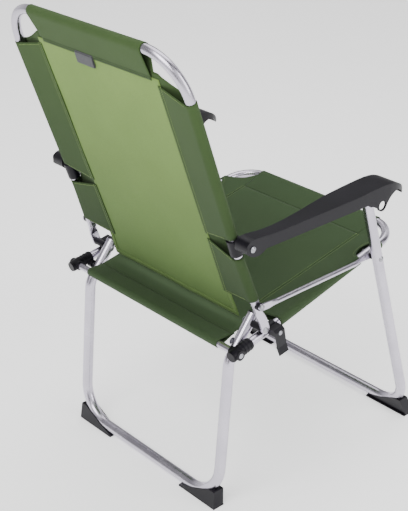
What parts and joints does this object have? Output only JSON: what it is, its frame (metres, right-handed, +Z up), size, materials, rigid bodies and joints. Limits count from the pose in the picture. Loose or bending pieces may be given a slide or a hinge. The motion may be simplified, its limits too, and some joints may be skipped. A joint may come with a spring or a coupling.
{
  "type": "folding camp chair",
  "caption": "Folding outdoor armchair: bent tube frames joined by pivots, cloth slings for seat and back, moulded armrests and feet. It folds flat.",
  "frame": {"origin": "on the floor, midway across the chair and midway between its front-most and rear-most points", "axes": "+Z up. The sitter faces -Y. The sitter's right hand is on -X, and nodes named right are on -X."},
  "size_m": [0.5832, 0.666, 0.9468],
  "materials": {
    "tube_aluminium": "satin anodised tube",
    "rivet_steel": "plain bright rivet",
    "black_plastic": "fine moulded grain",
    "green_cloth": "woven coated cloth, moss green",
    "label_webbing": "plain pale woven tape"
  },
  "bodies": {
    "front_frame": {"front_leg_frame": "tube_aluminium", "front_foot_right": "black_plastic", "front_foot_left": "black_plastic", "seat_pivot_bolts": "rivet_steel", "front_link_spacers": "black_plastic", "armrest_front_rivets": "rivet_steel"},
    "right_link": {"side_link_right": "tube_aluminium"},
    "left_link": {"side_link_left": "tube_aluminium"},
    "back_frame": {"backrest_frame": "tube_aluminium", "link_spacers": "black_plastic", "link_rivets": "rivet_steel", "leg_pivot_spacers": "black_plastic", "leg_pivot_rivets": "rivet_steel", "armrest_clamp_right": "black_plastic", "armrest_clamp_left": "black_plastic", "armrest_rear_rivets": "rivet_steel", "back_sling": "green_cloth", "back_label": "label_webbing"},
    "rear_legs": {"rear_leg_frame": "tube_aluminium", "rear_foot_right": "black_plastic", "rear_foot_left": "black_plastic", "rear_leg_plugs": "black_plastic"},
    "seat": {"seat_frame": "tube_aluminium", "seat_pivot_nuts": "rivet_steel", "rear_cross_tube": "tube_aluminium", "rear_fitting_right": "black_plastic", "rear_fitting_left": "black_plastic", "seat_leg_pins": "rivet_steel", "cross_tube_screws": "rivet_steel", "transport_clip_right": "black_plastic", "transport_clip_left": "black_plastic", "clip_rivets": "rivet_steel", "seat_sling": "green_cloth"},
    "right_armrest": {"armrest_right": "black_plastic"},
    "left_armrest": {"armrest_left": "black_plastic"}
  },
  "joints": [
    {"name": "right_link_fold", "type": "hinge", "parent": "front_frame", "child": "right_link", "pos_m": [-0.2362, -0.1813, 0.43], "axis": [-1, 0, 0], "range_deg": [0, 75]},
    {"name": "left_link_fold", "type": "hinge", "parent": "front_frame", "child": "left_link", "pos_m": [0.2362, -0.1813, 0.43], "axis": [-1, 0, 0], "range_deg": [0, 75]},
    {"name": "backrest_fold", "type": "hinge", "parent": "right_link", "child": "back_frame", "pos_m": [-0.261, 0.1507, 0.445], "axis": [-1, 0, 0], "range_deg": [-75, 0]},
    {"name": "rear_leg_fold", "type": "hinge", "parent": "back_frame", "child": "rear_legs", "pos_m": [0, 0.1325, 0.388], "axis": [-1, 0, 0], "range_deg": [0, 162.8]},
    {"name": "seat_fold", "type": "hinge", "parent": "rear_legs", "child": "seat", "pos_m": [0, 0.1637, 0.354], "axis": [-1, 0, 0], "range_deg": [-92.1, 0]},
    {"name": "right_armrest_fold", "type": "hinge", "parent": "front_frame", "child": "right_armrest", "pos_m": [-0.2516, -0.13636, 0.56912], "axis": [-1, 0, 0], "range_deg": [0, 75]},
    {"name": "left_armrest_fold", "type": "hinge", "parent": "front_frame", "child": "left_armrest", "pos_m": [0.2516, -0.13636, 0.56912], "axis": [-1, 0, 0], "range_deg": [0, 75]}
  ],
  "couplings": [
    {"joint": "left_link_fold", "follows": "right_link_fold", "ratio": 1},
    {"joint": "backrest_fold", "follows": "right_link_fold", "ratio": -1},
    {"joint": "rear_leg_fold", "follows": "right_link_fold", "ratio": 2.1671},
    {"joint": "seat_fold", "follows": "right_link_fold", "ratio": -1.2244},
    {"joint": "right_armrest_fold", "follows": "right_link_fold", "ratio": 1},
    {"joint": "left_armrest_fold", "follows": "right_link_fold", "ratio": 1}
  ]
}
